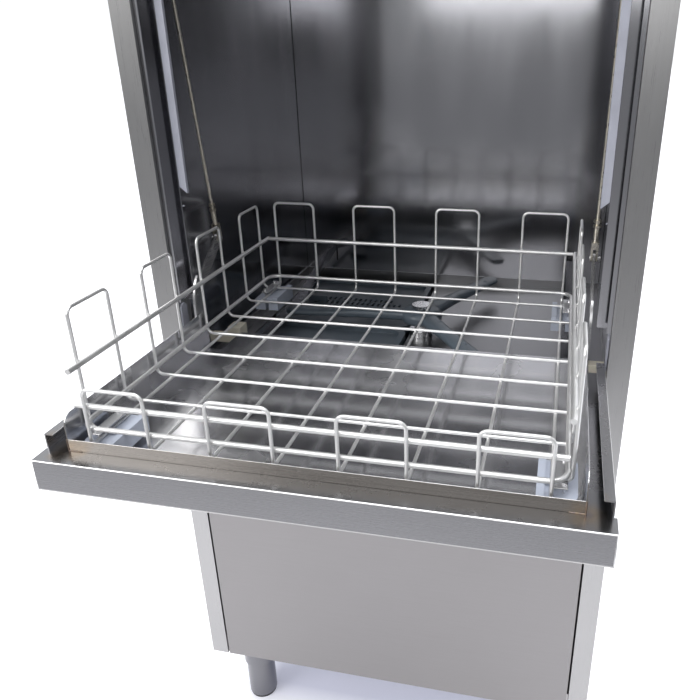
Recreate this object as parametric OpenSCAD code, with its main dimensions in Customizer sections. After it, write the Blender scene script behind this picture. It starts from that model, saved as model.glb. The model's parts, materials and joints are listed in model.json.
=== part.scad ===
// Front-loading commercial dishwasher for pots and utensils: split door, wire rack, wash chamber.
// Origin: floor level, centre of the footprint. +X right, +Y to the back, +Z up. Millimetres.

/* [Casing] */
// Outer width of the cabinet
body_w = 680; // [660:1:720]
// Depth of the cabinet, front posts to rear panel
body_d = 680; // [670:1:760]
// Height of the cabinet above the floor, without its lid
body_h = 1680; // [1660:1:1760]
// Free height under the base
leg_h = 150; // [140:1:160]
// Width of the front face of each side post
post_w = 30; // [28:1:31]
// Depth of the return of each post
post_d = 41; // [38:1:42]
// Sheet thickness of the casing
sheet = 1.5; // [1:0.1:2]
// Height of the lower edge of the fascia
fascia_z = 1355; // [1340:1:1370]

/* [Lower door] */
// Reach of the open lower door in front of the posts
door_reach = 330; // [310:1:340]
// Height of the ledge of the open door
ledge_z = 785; // [780:1:790]
// Height of the door's front face
lip_h = 40; // [36:1:44]
// Height of the pan floor
pan_z = 764; // [762:1:766]
// Height of the tall side walls of the pan
pan_wall_top = 828; // [820:1:835]

/* [Upper door] */
// Height of the sliding upper door
upper_h = 250; // [240:1:260]
// Height of its lower edge when raised
upper_z = 1352; // [1345:1:1353]

/* [Rack] */
// Side to side distance between the leg planes of the rack
rack_w = 540; // [530:1:541]
// Front to back distance between the leg planes of the rack
rack_d = 560; // [550:1:561]
// Diameter of the rack's thin wires
wire_d = 4.2; // [4:0.1:5.5]
// Diameter of the rack's thick rails
rail_d = 6.4; // [6:0.1:8]
// Height of the top of the tall loops
loop_top = 941; // [930:1:942]
// Height of the top of the low front loops
low_top = 861; // [856:1:866]

/* [Wash arms] */
// Reach of each blade of a wash arm
arm_r = 250; // [220:1:252]
// Height of the middle of the lower wash arm
arm_z = 740; // [736:1:742]
// Height of the middle of the upper wash arm
top_arm_z = 1330; // [1320:1:1340]

/* [Hidden] */
$fn = 48;

// Places that several parts share
rear_reach = 20;
y0 = (door_reach - body_d - rear_reach) / 2;
half_w = body_w / 2;
post_x = half_w - post_w;
gap = 0.3;
liner_x = 322;
chamber_y1 = post_d + 2;
chamber_y2 = 586;
chamber_z1 = 700;
roof_z = 1450;
hub_y = 298;
hinge_y = 17;
hinge_z = 770;
hinge_r = 5;
running = 0.05;
deck_z = 700;
tank_top = 723;
sump_z = 560;
filter_x1 = -298;
filter_x2 = -24;

// Lower door sections
lip_d = 26;
lip_half = post_x - 0.8;
door_half = post_x - 4;
pan_half = 280;
pan_t = 1.2;
rim_top = ledge_z + 14.6;
door_back = 3;
pan_back = 100;

// Lever and rod of the door linkage
lever_x1 = 281;
lever_x2 = 285;
pin_y = 103;
pin_z = 919;
rod_lean = 7.5;
rod_len = 470;
pin_r = 3;

// Rack wires
wr = wire_d / 2;
rr = rail_d / 2;
frame_r = 3;
rail_z = 878;
front_rail_z = 838;
frame_z = 810;
rack_x = -4;
rack_y = -17;
rack_back = rack_y + rack_d / 2;
rack_front = rack_y - rack_d / 2;
rack_left = rack_x - rack_w / 2;
rack_right = rack_x + rack_w / 2;
skid_outer = 272.5;
skid_l = 74;
skid_w = 41;
skid_r = 14;
screw_x = 14;
groove_1 = 18;
groove_2 = 24;
skid_z1 = 770.3;
skid_z2 = 789.5;
long_z = skid_z2 + wr;
cross_z = long_z + wire_d - 0.2;
pitch_x = 71.5;
pitch_y = 72;
bend = 9;

module at_front() { translate([0, y0, 0]) children(); }
module both_sides() { children(); mirror([1, 0, 0]) children(); }
// A box given by its lowest and highest corners
module block(a, b) { translate(a) cube(b - a); }
// A bar of round section between two points
module rod(a, b, r) {
    v = b - a;
    translate(a) rotate([0, acos(v.z / norm(v)), atan2(v.y, v.x)]) cylinder(r = r, h = norm(v));
}
// A round hole or disc along X
module along_x(x, y, z, r, h) { translate([x, y, z]) rotate([0, 90, 0]) cylinder(r = r, h = h); }
module along_y(x, y, z, r, h) { translate([x, y, z]) rotate([-90, 0, 0]) cylinder(r = r, h = h); }
// Extrudes a Y-Z outline along X
module yz_plate(x1, x2) {
    translate([x1, 0, 0]) rotate([90, 0, 90]) linear_extrude(x2 - x1) children();
}
// A quarter bend at corner b, from direction u into direction w
module elbow(b, u, w, r, c) {
    n = cross(u, w);
    o = b - u * c + w * c;
    multmatrix([[-w.x, u.x, n.x, o.x], [-w.y, u.y, n.y, o.y], [-w.z, u.z, n.z, o.z]])
        rotate_extrude(angle = 90) translate([c, 0]) circle(r = r);
}
// A wire along square-cornered points, every corner bent to radius c
module wire(pts, r, c, closed = false) {
    n = len(pts);
    for (i = [0 : closed ? n - 1 : n - 2]) {
        a = pts[i];
        b = pts[(i + 1) % n];
        u = (b - a) / norm(b - a);
        from = closed || i > 0 ? c : 0;
        to = closed || i < n - 2 ? c : 0;
        rod(a + u * from, b - u * to, r);
        if (closed || i < n - 2) {
            d = pts[(i + 2) % n] - b;
            elbow(b, u, d / norm(d), r, c);
        }
    }
}

// ---------- Cabinet ----------
module base_tray() color("silver") at_front() difference() {
    block([-half_w + 4, 4, leg_h], [half_w - 4, body_d - 4, leg_h + 40]);
    block([-half_w + 6, 6, leg_h + 2], [half_w - 6, body_d - 6, leg_h + 41]);
    both_sides() block([post_x - gap, 3, leg_h - 1], [half_w, post_d + gap, leg_h + 41]);
    corner_places() translate([0, 0, leg_h - 1]) cylinder(r = 9, h = 4);
}

module corner_places() {
    for (x = [-1, 1], y = [60, body_d - 60]) translate([x * (half_w - 62), y, 0]) children();
}

module leg_tubes() color("gainsboro") at_front() corner_places() {
    difference() {
        translate([0, 0, 88]) cylinder(r = 30, h = leg_h - 88 - gap);
        translate([0, 0, 87]) cylinder(r = 28, h = leg_h - 94);
    }
    translate([0, 0, leg_h - 7]) cylinder(r = 8.5, h = 24);
}

module levelling_feet() color("dimgray") at_front() corner_places() {
    cylinder(r = 25, h = 6);
    translate([0, 0, 5.5]) cylinder(r = 26.5, h = 106);
}

// One side of the cabinet: outer sheet, front post with its return, rear flange
module side_casing() linear_extrude(body_h - leg_h) polygon([
    [half_w, 0], [half_w, body_d], [half_w - 20, body_d], [half_w - 20, body_d - sheet],
    [half_w - sheet, body_d - sheet], [half_w - sheet, sheet], [post_x + sheet, sheet],
    [post_x + sheet, post_d], [post_x, post_d], [post_x, 0]]);

module drilled_casing() difference() {
    translate([0, 0, leg_h]) side_casing();
    along_x(post_x - 1, hinge_y, hinge_z, 8, 4);
}
module side_casing_right() color("lightgray") at_front() drilled_casing();
module side_casing_left() color("lightgray") at_front() mirror([1, 0, 0]) drilled_casing();

module rear_panel() color("silver") at_front() difference() {
    block([-half_w + 2, body_d - 3.2, leg_h + 42], [half_w - 2, body_d - 1.7, body_h - 2]);
    along_y(-200, body_d - 5, 320, 30, 6);
    along_y(200, body_d - 5, 320, 14.2, 6);
    along_y(220, body_d - 5, 230, 20.3, 6);
    for (z = [1500 : 24 : 1596], x = [-150, 0, 150])
        block([x - 50, body_d - 5, z], [x + 50, body_d, z + 6]);
}

module top_cover() color("silver") at_front() translate([0, 0, body_h + gap]) difference() {
    block([-half_w, 0, 0], [half_w, body_d, 22]);
    block([-half_w + sheet, sheet, -1], [half_w - sheet, body_d - sheet, 22 - sheet]);
}

panel_z = 1520;
button_x = [120, 165, 210];
module fascia() color("lightgray") at_front() difference() {
    union() {
        block([-post_x + 1, 0, fascia_z], [post_x - 1, sheet, body_h]);
        block([-post_x + 1, sheet, fascia_z], [post_x - 1, 5.7, fascia_z + sheet]);
        block([-post_x + 1, sheet, body_h - sheet], [post_x - 1, 20, body_h]);
    }
    for (x = button_x) along_y(x, -1, panel_z, 11.05, 4);
    block([20, -1, panel_z - 22], [95, 3, panel_z + 22]);
}

module display_lens() color("darkslategray") at_front() {
    block([20.3, -1, panel_z - 21.7], [94.7, 4, panel_z + 21.7]);
    block([16, 1.6, panel_z - 26], [99, 4, panel_z + 26]);
}

// A push button: round cap through the fascia with a retaining skirt behind it
module push_button(x) translate([x, 0, panel_z]) {
    along_y(0, -4, 0, 11, 9);
    along_y(0, 3.5, 0, 13, 1.5);
}
module start_button() color("seagreen") at_front() push_button(button_x[0]);
module cycle_button() color("gray") at_front() push_button(button_x[1]);
module power_button() color("firebrick") at_front() push_button(button_x[2]);

module lower_front_panel() color("lightgray") at_front() difference() {
    union() {
        block([-post_x + 3, 0, leg_h], [post_x - 3, 1.5, 741]);
        both_sides() block([post_x - 4.5, 1.5, leg_h + 42], [post_x - 3, 18, 741]);
        block([-post_x + 4.5, 1.5, 739.5], [post_x - 4.5, 16, 741]);
    }
    for (x = [-1, 1]) along_y(x * 280, -1, 728, 3.1, 4);
}

module panel_screws() color("gainsboro") at_front() both_sides() difference() {
    union() {
        along_y(280, -2.5, 728, 5.5, 2.4);
        along_y(280, -0.2, 728, 3, 12);
    }
    block([274, -3, 727.4], [286, -1.6, 728.6]);
}

// ---------- Wash chamber ----------
module chamber_shell() color("dimgray") at_front() difference() {
    translate([0, 0, chamber_z1]) linear_extrude(roof_z - chamber_z1) difference() {
        union() {
            translate([-liner_x - sheet, chamber_y1])
                square([2 * (liner_x + sheet), chamber_y2 + sheet - chamber_y1]);
            translate([-liner_x - sheet, chamber_y1 - sheet]) square([2 * (liner_x + sheet), sheet]);
        }
        translate([-liner_x, chamber_y1]) square([2 * liner_x, chamber_y2 - chamber_y1]);
        translate([-post_x - 0.5, chamber_y1 - 5]) square([2 * post_x + 1, 10]);
    }
    along_y(-170, chamber_y2 - 1, 1390, 20.5, 4);
    along_y(150, chamber_y2 - 1, 1390, 16.5, 4);
}

module chamber_roof() color("gray") at_front() difference() {
    union() {
        block([-liner_x - sheet, post_d + 1, roof_z + gap],
            [liner_x + sheet, chamber_y2 + sheet, roof_z + 2]);
        block([-post_x + 8, 32, roof_z + gap], [post_x - 8, post_d + 2, roof_z + 2]);
        block([-post_x + 8, 32, fascia_z + 20], [post_x - 8, 33.5, roof_z + 1]);
    }
    translate([0, hub_y, roof_z - 1]) cylinder(r = 12.5, h = 4);
}

// Trough under the chamber: a sloping deck on the right, the deep sump on the left
tank_outer = [[-liner_x + gap, tank_top], [-liner_x + gap, 704], [filter_x1 - 4, 704],
    [filter_x1 - 4, sump_z + 12], [-160, sump_z], [filter_x2 + 4, sump_z + 12],
    [filter_x2 + 4, deck_z - sheet], [42, deck_z - sheet], [liner_x - gap, 710], [liner_x - gap, tank_top]];
tank_inner = [[-liner_x + gap + sheet, tank_top + 5], [-liner_x + gap + sheet, 705.5],
    [filter_x1 - 2.5, 705.5], [filter_x1 - 2.5, sump_z + 13.6], [-160, sump_z + 1.6],
    [filter_x2 + 2.5, sump_z + 13.6], [filter_x2 + 2.5, deck_z], [42, deck_z],
    [liner_x - gap - sheet, 711.5], [liner_x - gap - sheet, tank_top + 5]];
module tank() color("gray") at_front() difference() {
    translate([0, chamber_y2 - gap, 0]) rotate([90, 0, 0])
        linear_extrude(chamber_y2 - gap - chamber_y1) polygon(tank_outer);
    translate([0, chamber_y2 - gap - sheet, 0]) rotate([90, 0, 0])
        linear_extrude(chamber_y2 - gap - 2 * sheet - chamber_y1) polygon(tank_inner);
    translate([0, hub_y, deck_z - 5]) cylinder(r = 12.5, h = 10);
    translate([-90, 520, sump_z - 10]) cylinder(r = 26, h = 30);
    translate([-200, 150, sump_z - 10]) cylinder(r = 22, h = 30);
}

// Rail that climbs towards the back wall: a flat flange, and a lip that enters the skid's groove
rail_half = skid_outer - (groove_1 + groove_2) / 2;
rail_w = 20;
rail_path = [[44.8, 712], [380, 731], [chamber_y2 - 4, skid_z1 - 0.4]];
function lifted(path, h) = [for (p = path) p + [0, h]];
function reversed(path) = [for (i = [len(path) - 1 : -1 : 0]) path[i]];
module rack_rail() {
    yz_plate(rail_half - 1, rail_half + rail_w) polygon(concat(rail_path, reversed(lifted(rail_path, -2))));
    yz_plate(rail_half - 1, rail_half + 1) polygon([[400, 732], rail_path[2] + [0, -1],
        rail_path[2] + [0, 16], rail_path[2] + [-60, 6], [420, 737]]);
    block([rail_half - 1, chamber_y2 - 5.5, 740], [rail_half + rail_w, chamber_y2 - 4, skid_z1 - 1]);
}
module rack_rail_right() color("gray") at_front() rack_rail();
module rack_rail_left() color("gray") at_front() mirror([1, 0, 0]) rack_rail();

module rail_blocks() color("ivory") at_front() both_sides() difference() {
    union() {
        block([264, 104, 740], [286, 130, skid_z1 - 0.6]);
        block([264, 108, 740], [liner_x - gap, 126, 752]);
    }
    translate([275, 117, 760]) cylinder(r = 3.5, h = 20);
}

// Perforated plastic tray over the sump, with a raised rim and a slotted oval field
module filter_tray(y1, y2) {
    cx = (filter_x1 + filter_x2) / 2;
    cy = (y1 + y2) / 2;
    w = filter_x2 - filter_x1 - 4;
    d = y2 - y1;
    difference() {
        translate([cx, cy, 694]) linear_extrude(14) round_plan(w, d, 26);
        translate([cx, cy, 700]) linear_extrude(20) round_plan(w - 22, d - 22, 18);
        translate([cx, cy, 690]) linear_extrude(7) round_plan(w - 22, d - 22, 18);
        for (i = [-9 : 9], j = [-1, 0, 1])
            if (abs(i) < 9 - 2 * abs(j))
                block([cx + i * 11 - 2.5, cy + j * 22 - 8, 690], [cx + i * 11 + 2.5, cy + j * 22 + 8, 710]);
    }
    translate([cx - w / 2 + 30, cy - 1.5, 700]) cube([40, 3, 12]);
}
module round_plan(w, d, r) union() {
    square([w - 2 * r, d], center = true);
    square([w, d - 2 * r], center = true);
    for (x = [-1, 1], y = [-1, 1]) translate([x * (w / 2 - r), y * (d / 2 - r)]) circle(r = r);
}
module filter_tray_front() color("slategray") at_front() filter_tray(80, 300);
module filter_tray_rear() color("slategray") at_front() filter_tray(304, 560);

module suction_strainer() color("silver") at_front() translate([-200, 150, sump_z + 16]) difference() {
    cylinder(r = 40, h = 90);
    translate([0, 0, 2]) cylinder(r = 38.5, h = 90);
    translate([0, 0, -1]) cylinder(r = 18, h = 5);
    for (a = [0 : 30 : 150], z = [16 : 16 : 64])
        rotate([0, 0, a]) translate([-45, -4, z]) cube([90, 8, 8]);
}

module overflow_standpipe() color("slategray") at_front() translate([-90, 520, 0]) difference() {
    union() {
        translate([0, 0, sump_z + 16]) cylinder(r = 25, h = 112);
        translate([0, 0, sump_z + 16]) cylinder(r = 32, h = 6);
    }
    translate([0, 0, sump_z + 10]) cylinder(r = 22, h = 130);
}

// ---------- Wash and rinse system ----------
module lower_spindle() color("silver") at_front() translate([0, hub_y, 0]) difference() {
    union() {
        translate([0, 0, deck_z + gap]) cylinder(r = 22, h = 12);
        translate([0, 0, deck_z - 20]) cylinder(r = 12, h = arm_z + 14 - deck_z + 20);
        translate([0, 0, arm_z + 14]) cylinder(r = 17, h = 5);
    }
    translate([0, 0, deck_z - 21]) cylinder(r = 9, h = arm_z + 8 - deck_z + 21);
}

// Wash arm of three plastic blades on a bored hub
arm_phase = 65;
module blade(r) {
    hull() {
        translate([26, -19, -11]) cube([10, 38, 20]);
        translate([r * 0.55, -15, -9]) cube([10, 30, 16]);
    }
    hull() {
        translate([r * 0.55, -15, -9]) cube([10, 30, 16]);
        translate([r - 6, -17, -7]) cube([6, 34, 12]);
    }
}
module wash_arm(r, z) translate([0, hub_y, z]) {
    for (i = [0 : 2]) rotate([0, 0, arm_phase + 120 * i]) blade(r);
    difference() {
        translate([0, 0, -12]) cylinder(r = 38, h = 24);
        translate([0, 0, -13]) cylinder(r = 12 + running, h = 30);
    }
}
module lower_wash_arm() color("slategray") at_front() wash_arm(arm_r, arm_z);

module upper_spindle() color("silver") at_front() translate([0, hub_y, 0]) difference() {
    union() {
        translate([0, 0, top_arm_z - 20]) cylinder(r = 17, h = 5);
        translate([0, 0, top_arm_z - 16]) cylinder(r = 12, h = roof_z + 26 - top_arm_z);
        translate([0, 0, roof_z - 14]) cylinder(r = 22, h = 14 - gap);
        translate([0, 0, top_arm_z + 45]) cylinder(r = 16, h = 6);
    }
    translate([0, 0, top_arm_z - 10]) cylinder(r = 9, h = roof_z + 26 - top_arm_z);
}
module upper_wash_arm() color("slategray") at_front() wash_arm(arm_r, top_arm_z);

rinse_l = 440;
rinse_turn = 25;
module upper_rinse_arm() color("silver") at_front() translate([0, hub_y, top_arm_z + 30])
    rotate([0, 0, rinse_turn]) difference() {
        union() {
            along_x(-rinse_l / 2, 0, 0, 9, rinse_l);
            translate([0, 0, -13]) cylinder(r = 22, h = 26);
        }
        translate([0, 0, -14]) cylinder(r = 12 + running, h = 28);
        for (s = [-1, 1], x = [50 : 40 : 210]) translate([s * x, 0, -12]) cylinder(r = 1.5, h = 6);
    }

pump_x = 60;
pump_y = 250;
pump_z = 272.3;
back_run_y = 612;
module riser_pipe() color("silver") at_front() {
    wire([[pump_x - 40, pump_y + 60, pump_z + 130], [pump_x - 40, pump_y + 60, 440],
        [pump_x - 40, back_run_y, 440], [-170, back_run_y, 440], [-170, back_run_y, 1390],
        [-170, 575, 1390]], 16, 18);
    wire([[190, back_run_y, 560], [190, back_run_y, 1390], [150, back_run_y, 1390],
        [150, 575, 1390]], 7, 10);
}

module wash_pump() color("darkslategray") at_front() translate([pump_x, pump_y, pump_z]) {
    difference() {
        union() {
            along_x(-70, 0, 0, 75, 60);
            translate([-40, 60, 0]) cylinder(r = 20, h = 129.7);
            along_x(-110, 0, 0, 26, 45);
        }
        along_x(-62, 0, 0, 64, 44);
        along_x(-112, 0, 0, 20, 60);
        translate([-40, 60, 4]) cylinder(r = 16, h = 130);
        along_x(-20, 0, 0, 8 + running, 14);
    }
    difference() {
        along_x(-9.8, 0, 0, 65, 150);
        along_x(-10, 0, 0, 8 + running, 130);
    }
    for (y = [-45, 45]) block([0, y - 12, -120], [110, y + 12, -58]);
}

module pump_impeller() color("peru") at_front() translate([pump_x, pump_y, pump_z]) {
    along_x(-58, 0, 0, 58, 4);
    along_x(-55, 0, 0, 14, 30);
    along_x(-26, 0, 0, 8, 140);
    for (a = [0 : 60 : 300]) rotate([a, 0, 0]) block([-54.5, -2, 12], [-38, 2, 56]);
}

module boiler() color("silver") at_front() translate([190, 470, 0]) difference() {
    union() {
        translate([0, 0, leg_h + 2.3]) cylinder(r = 95, h = 344);
        translate([0, 0, 490]) cylinder(r1 = 95, r2 = 60, h = 30);
        translate([0, 0, 515]) cylinder(r = 14, h = 40);
    }
    translate([0, 0, 200]) cylinder(r = 92, h = 290);
}

module tank_heater() color("dimgray") at_front() {
    wire([[-290, 260, 590], [-60, 260, 590], [-60, 420, 590], [-290, 420, 590]], 5, 20);
}

inlet_r = 13.2;
module inlet_valve() color("royalblue") at_front() {
    block([-225, 600, 295], [-175, 650, 345]);
    along_y(-200, 650, 320, inlet_r, 45);
    translate([-200, 625, 344]) cylinder(r = 14, h = 36);
}

module dosing_pumps() color("darkslategray") at_front() for (x = [-120, -50]) {
    block([x - 28, 10, 470], [x + 28, 50, 530]);
    along_y(x, 2.4, 500, 22, 8);
}

module electrical_box() color("lightslategray") at_front() difference() {
    block([-240, 60, roof_z + 20], [240, 260, body_h - 30]);
    block([-238, 62, roof_z + 22], [238, 258, body_h - 28]);
}

module cable_gland() color("dimgray") at_front() difference() {
    union() {
        along_y(200, body_d - 16, 320, 14, 34);
        translate([200, body_d - 1.5, 320]) rotate([-90, 0, 0]) cylinder(r = 19, h = 6, $fn = 6);
        along_y(200, body_d - 8, 320, 18, 4);
    }
    along_y(200, body_d - 17, 320, 7, 40);
}

module drain_pipe() color("dimgray") at_front() difference() {
    wire([[-90, 520, 552], [-90, 520, 230], [-90, 600, 230], [220, 600, 230],
        [220, body_d + rear_reach, 230]], 20, 30);
    along_y(220, body_d - 40, 230, 17, 70);
}

// ---------- Door guides ----------
guide_z1 = 985;
guide_z2 = 1625;
guide_foot = 846;
module door_guides() color("silver") at_front() both_sides() translate([0, 0, guide_foot])
    linear_extrude(guide_z2 - guide_foot) polygon([[304, 6], [309.5, 6], [309.5, 27.2], [292, 27.2],
        [292, 26], [308.3, 26], [308.3, 7.2], [304, 7.2]]);

module guide_strips() color("lavender") at_front() both_sides() difference() {
    block([281, 25.7, guide_z1], [291.7, 31, guide_z2]);
    translate([280, 20, guide_z1 - 8]) rotate([0, -40, 0]) cube([40, 20, 20]);
}

module door_plates() color("lightsteelblue") at_front() both_sides()
    yz_plate(306.6, 309.6) polygon([[9, 790], [26, 790], [26, 836], [20, 842], [14, 842], [9, 836]]);

// ---------- Upper door ----------
module upper_door_skin() color("lightgray") at_front() difference() {
    block([-301, 9, upper_z], [301, 21, upper_z + upper_h]);
    block([-299.5, 10.5, upper_z + sheet], [299.5, 22, upper_z + upper_h - sheet]);
}
module upper_door_liner() color("gray") at_front()
    block([-301, 21 + gap, upper_z], [301, 22.8, upper_z + upper_h]);
module upper_door_handle() color("gainsboro") at_front() union() {
    along_x(-180, -24, upper_z - 10, 8, 360);
    both_sides() block([150, -22, upper_z - 16], [158, 8.7, upper_z - 4]);
    both_sides() block([146, 7, upper_z - 16], [162, 8.7, upper_z + 2.5]);
}
module upper_door_blocks() color("ivory") at_front() both_sides() for (z = [30, upper_h - 60])
    block([301.2, 9.5, upper_z + z], [307.6, 24.5, upper_z + z + 30]);

module balance_springs() color("gray") at_front() both_sides() translate([331, 120, 0]) difference() {
    translate([0, 0, 900]) cylinder(r = 6, h = 420);
    translate([0, 0, 890]) cylinder(r = 4, h = 440);
}

// ---------- Lower door ----------
module lower_door_shell() color("lightgray") at_front() union() {
    difference() {
        union() {
            block([-door_half, -door_reach + lip_d, ledge_z - lip_h], [door_half, door_back, ledge_z]);
            block([-lip_half, -door_reach, ledge_z - lip_h + 4], [lip_half, -door_reach + lip_d, ledge_z]);
            block([-lip_half, -door_reach + 4, ledge_z - lip_h],
                [lip_half, -door_reach + lip_d, ledge_z - 4]);
            along_x(-lip_half, -door_reach + 4, ledge_z - lip_h + 4, 4, 2 * lip_half);
        }
        block([-door_half + sheet, -door_reach + sheet, ledge_z - lip_h + sheet],
            [door_half - sheet, door_back + 1, ledge_z - sheet]);
        block([-pan_half - gap, -door_reach + lip_d - gap, ledge_z - 3],
            [pan_half + gap, door_back + 1, ledge_z + 1]);
    }
    both_sides() {
        block([door_half - sheet, -door_reach + lip_d - 2, ledge_z - 0.5],
            [door_half, door_back, ledge_z + 20]);
        block([door_half - 11, -door_reach + lip_d - 2, ledge_z + 18.5],
            [door_half, door_back, ledge_z + 20]);
    }
}

module pan_side() difference() {
    union() {
        translate([-door_reach + lip_d, pan_z - pan_t]) square([door_reach - lip_d + 30, rim_top - pan_z]);
        translate([-door_reach + lip_d + 14, pan_z]) square([door_reach - lip_d + 2, pan_wall_top - pan_z]);
        translate([-door_reach + lip_d, pan_z]) square([40, pan_wall_top - pan_z - 14]);
        translate([-door_reach + lip_d + 14, pan_wall_top - 14]) circle(r = 14);
    }
    translate([16, pan_wall_top - 12]) square([20, 14]);
}
module lower_door_pan() color("dimgray") at_front() union() {
    block([-pan_half, -door_reach + lip_d, pan_z - pan_t], [pan_half, 30, pan_z]);
    block([-262, 29, pan_z - pan_t], [262, pan_back, pan_z]);
    block([-262, pan_back - pan_t, pan_z - 12], [262, pan_back, pan_z]);
    block([-pan_half, -door_reach + lip_d, pan_z - pan_t], [pan_half, -door_reach + lip_d + pan_t, rim_top]);
    both_sides() yz_plate(pan_half - pan_t, pan_half) pan_side();
}

module hinge_pins() color("silver") at_front() both_sides() {
    along_x(lever_x1, hinge_y, hinge_z, hinge_r, 320 - lever_x1);
    along_x(317, hinge_y, hinge_z, 9, 3);
}
module hinge_bushes() color("ivory") at_front() both_sides() difference() {
    union() {
        along_x(post_x - 2.2, hinge_y, hinge_z, 7.95, 8);
        along_x(post_x - 3.2, hinge_y, hinge_z, 11, 2.9);
    }
    along_x(post_x - 10, hinge_y, hinge_z, hinge_r + running, 30);
}

// Curved lever from the hinge up to the clevis pin
module lever_outline() difference() {
    union() {
        translate([hinge_y, hinge_z]) circle(r = 13);
        translate([-70, ledge_z + gap]) square([78, 16]);
        translate([hinge_y - 11, hinge_z]) square([22, 72]);
        translate([hinge_y + 49, hinge_z + 72]) rotate(180) intersection() {
            difference() {
                circle(r = 60);
                circle(r = 38);
            }
            rotate(-45) translate([0, 0]) square([90, 90]);
        }
        translate([pin_y, pin_z]) circle(r = 10);
        translate([pin_y, pin_z]) rotate(atan2(hinge_z + 96 - pin_z, hinge_y + 8 - pin_y))
            translate([0, -9]) square([94, 18]);
    }
    translate([pin_y, pin_z]) circle(r = pin_r + running);
    translate([hinge_y, hinge_z]) circle(r = hinge_r + running);
}
module lever_arms() color("silver") at_front() both_sides()
    yz_plate(lever_x1, lever_x2) lever_outline();

// Link rod with its fork and lock nuts, leaning forward as it rises
rod_x = (lever_x1 + lever_x2) / 2;
fork_t = 2.6;
fork_x1 = lever_x1 - gap - fork_t;
fork_r = 5;
module link_rods() color("tan") at_front() both_sides() translate([0, pin_y, pin_z])
    rotate([rod_lean, 0, 0]) difference() {
        union() {
            translate([rod_x, 0, 20]) cylinder(r = 2.4, h = rod_len);
            translate([rod_x, 0, 22]) cylinder(r = 3.6, h = 22);
            for (z = [45, 52]) translate([rod_x, 0, z]) cylinder(r = 5.5, h = 3.5, $fn = 6);
            block([fork_x1, -fork_r, 14], [2 * rod_x - fork_x1, fork_r, 24]);
            for (x = [fork_x1, lever_x2 + gap]) {
                block([x, -fork_r, 0], [x + fork_t, fork_r, 16]);
                along_x(x, 0, 0, fork_r, fork_t);
            }
        }
        along_x(270, 0, 0, pin_r + running, 30);
    }
module clevis_pins() color("silver") at_front() both_sides() {
    along_x(277.2, pin_y, pin_z, pin_r, 15);
    along_x(289, pin_y, pin_z, 5, 2);
}

// ---------- Rack ----------
// A hoop: two bottom runs joined by a raised loop at each end
module cross_hoop(y1, y2) wire([
    [rack_left, y1, cross_z], [rack_right, y1, cross_z], [rack_right, y1, loop_top],
    [rack_right, y2, loop_top], [rack_right, y2, cross_z], [rack_left, y2, cross_z],
    [rack_left, y2, loop_top], [rack_left, y1, loop_top]], wr, bend, true);
module long_hoop(x1, x2) wire([
    [x1, rack_front, long_z], [x1, rack_back, long_z], [x1, rack_back, loop_top],
    [x2, rack_back, loop_top], [x2, rack_back, long_z], [x2, rack_front, long_z],
    [x2, rack_front, low_top], [x1, rack_front, low_top]], wr, bend, true);

module rack_cross_hoops() color("whitesmoke") at_front() for (i = [0 : 3]) {
    y = rack_y + (2 * i - 3.5) * pitch_y;
    cross_hoop(y, y + pitch_y);
}
module rack_long_hoops() color("whitesmoke") at_front() for (i = [0 : 3]) {
    x = rack_x + (2 * i - 3.5) * pitch_x;
    long_hoop(x, x + pitch_x);
}
module rack_rails() color("whitesmoke") at_front() {
    in = wr + rr - 0.3;
    for (x = [rack_left + in, rack_right - in])
        rod([x, rack_front + 4, rail_z], [x, rack_back - in + rr, rail_z], rr);
    rod([rack_left + in + rr + 0.1, rack_back - in, rail_z],
        [rack_right - in - rr - 0.1, rack_back - in, rail_z], rr);
    rod([rack_left + in, rack_front + in, front_rail_z],
        [rack_right - in, rack_front + in, front_rail_z], rr);
    low = wr + frame_r - 0.3;
    wire([[rack_left + low, rack_front + low, frame_z], [rack_left + low, rack_back - low, frame_z],
        [rack_right - low, rack_back - low, frame_z], [rack_right - low, rack_front + low, frame_z]],
        frame_r, 20, true);
}

// The skids stand in line with the rails of the cabinet, whatever the place of the wires
module skid_places() both_sides() for (y = [0, 1])
    translate([skid_outer, y == 0 ? rack_front : rack_back, 0])
        mirror([1, 0, 0]) mirror([0, y, 0]) children();

// Plastic skid under a rack corner, with a groove for the lip of the rail and a rib inside
module rack_skids() color("lightsteelblue") at_front() skid_places() {
    difference() {
        translate([0, 0, skid_z1]) linear_extrude(skid_z2 - skid_z1) union() {
            translate([skid_r, 1]) square([skid_w - skid_r, skid_l - 1]);
            translate([0, skid_r]) square([skid_w, skid_l - skid_r]);
            translate([skid_r, skid_r + 1]) circle(r = skid_r);
        }
        block([groove_1, -1, skid_z1 - 1], [groove_2, skid_l + 1, skid_z1 + 17]);
    }
    block([skid_w - 8, 1, skid_z2 - 1], [skid_w, skid_l, skid_z2 + 3.4]);
}
// The strap clears the bends of the wires beside it
strap_z = cross_z + wr + 1.7;
strap_t = 1.5;
module skid_plates() color("silver") at_front() skid_places()
    block([10.5, 8, strap_z], [24, skid_l - 6, strap_z + strap_t]);
module skid_screws() color("gainsboro") at_front() skid_places() for (y = [17, skid_l - 15]) difference() {
    union() {
        translate([screw_x, y, strap_z + strap_t - 0.1]) cylinder(r = 3.5, h = 2.4);
        translate([screw_x, y, skid_z1 + 8]) cylinder(r = 1.8, h = strap_z + strap_t - skid_z1 - 7);
    }
    block([screw_x - 4, y - 0.5, strap_z + strap_t + 1.1], [screw_x + 4, y + 0.5, strap_z + strap_t + 3]);
}

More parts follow.
